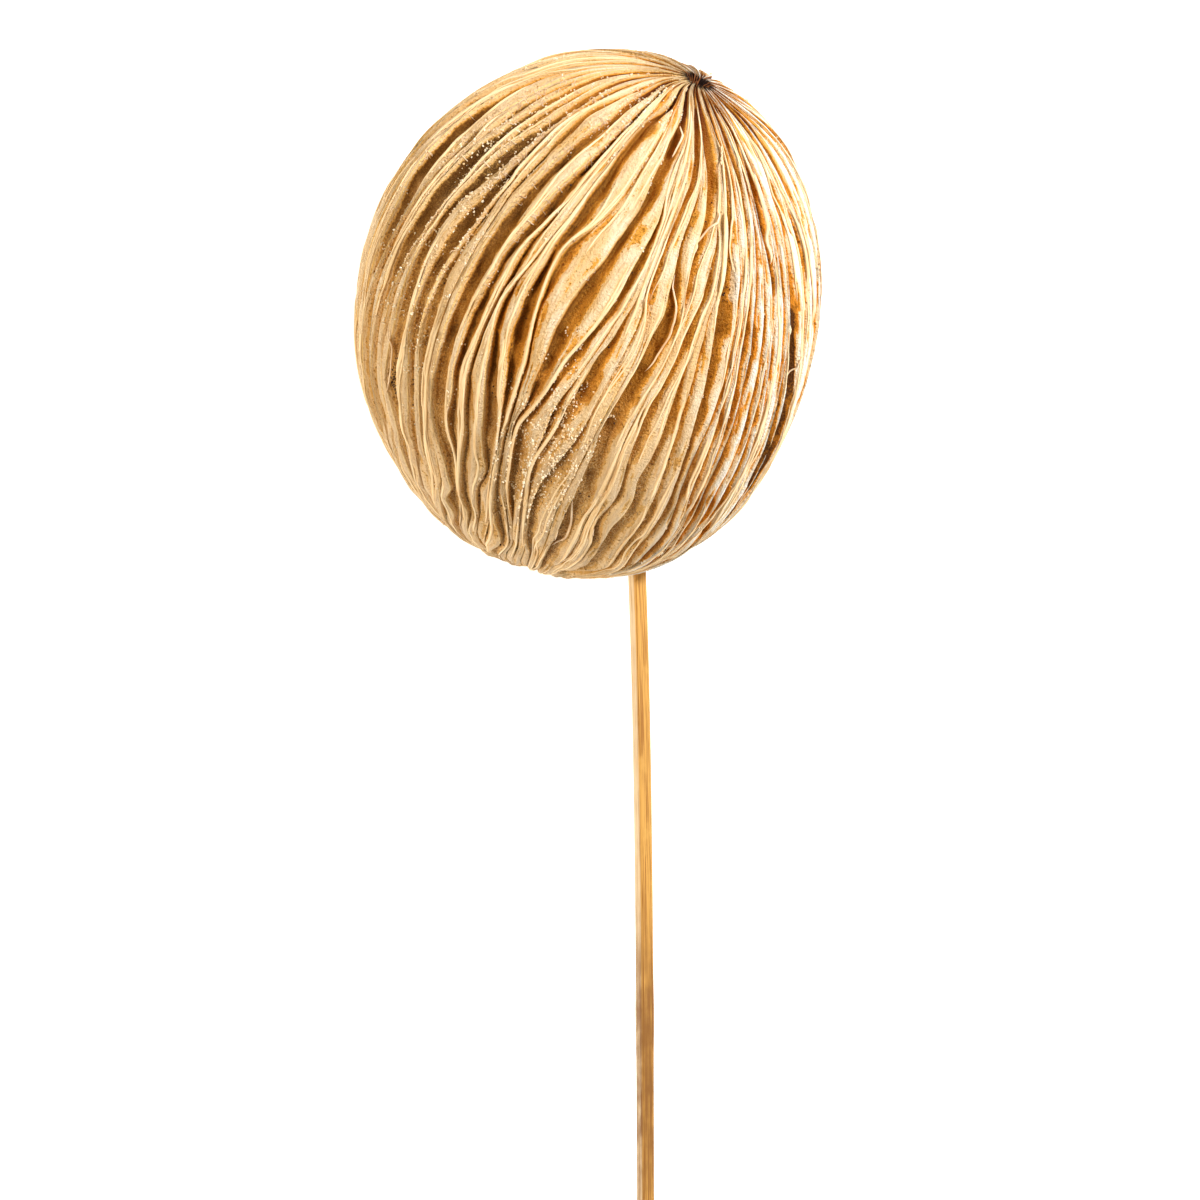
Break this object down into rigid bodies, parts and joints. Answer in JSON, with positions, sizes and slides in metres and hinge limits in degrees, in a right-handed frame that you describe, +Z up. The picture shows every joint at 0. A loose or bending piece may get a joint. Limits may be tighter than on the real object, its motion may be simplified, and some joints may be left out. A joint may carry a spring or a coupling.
{
  "type": "bleached mintola ball",
  "caption": "Egg-shaped ball of pale bleached fibre ribs, a dried fruit stone on a long thin split bamboo stick, lying on its back.",
  "frame": {"origin": "middle of the bounding box in plan, on the surface that the part lies on", "axes": "+Y along the part from the stick's cut end towards the ball's tip, +Z up from the surface, +X to the right as seen from above with the tip away from the viewer"},
  "size_m": [0.0707, 0.3958, 0.0676],
  "materials": {
    "bleached_fibre": "matt bleached plant fibre",
    "split_bamboo": "smooth split bamboo with a slight sheen"
  },
  "bodies": {
    "root": {"mintola_ball": "bleached_fibre", "bamboo_stick": "split_bamboo"}
  },
  "joints": []
}
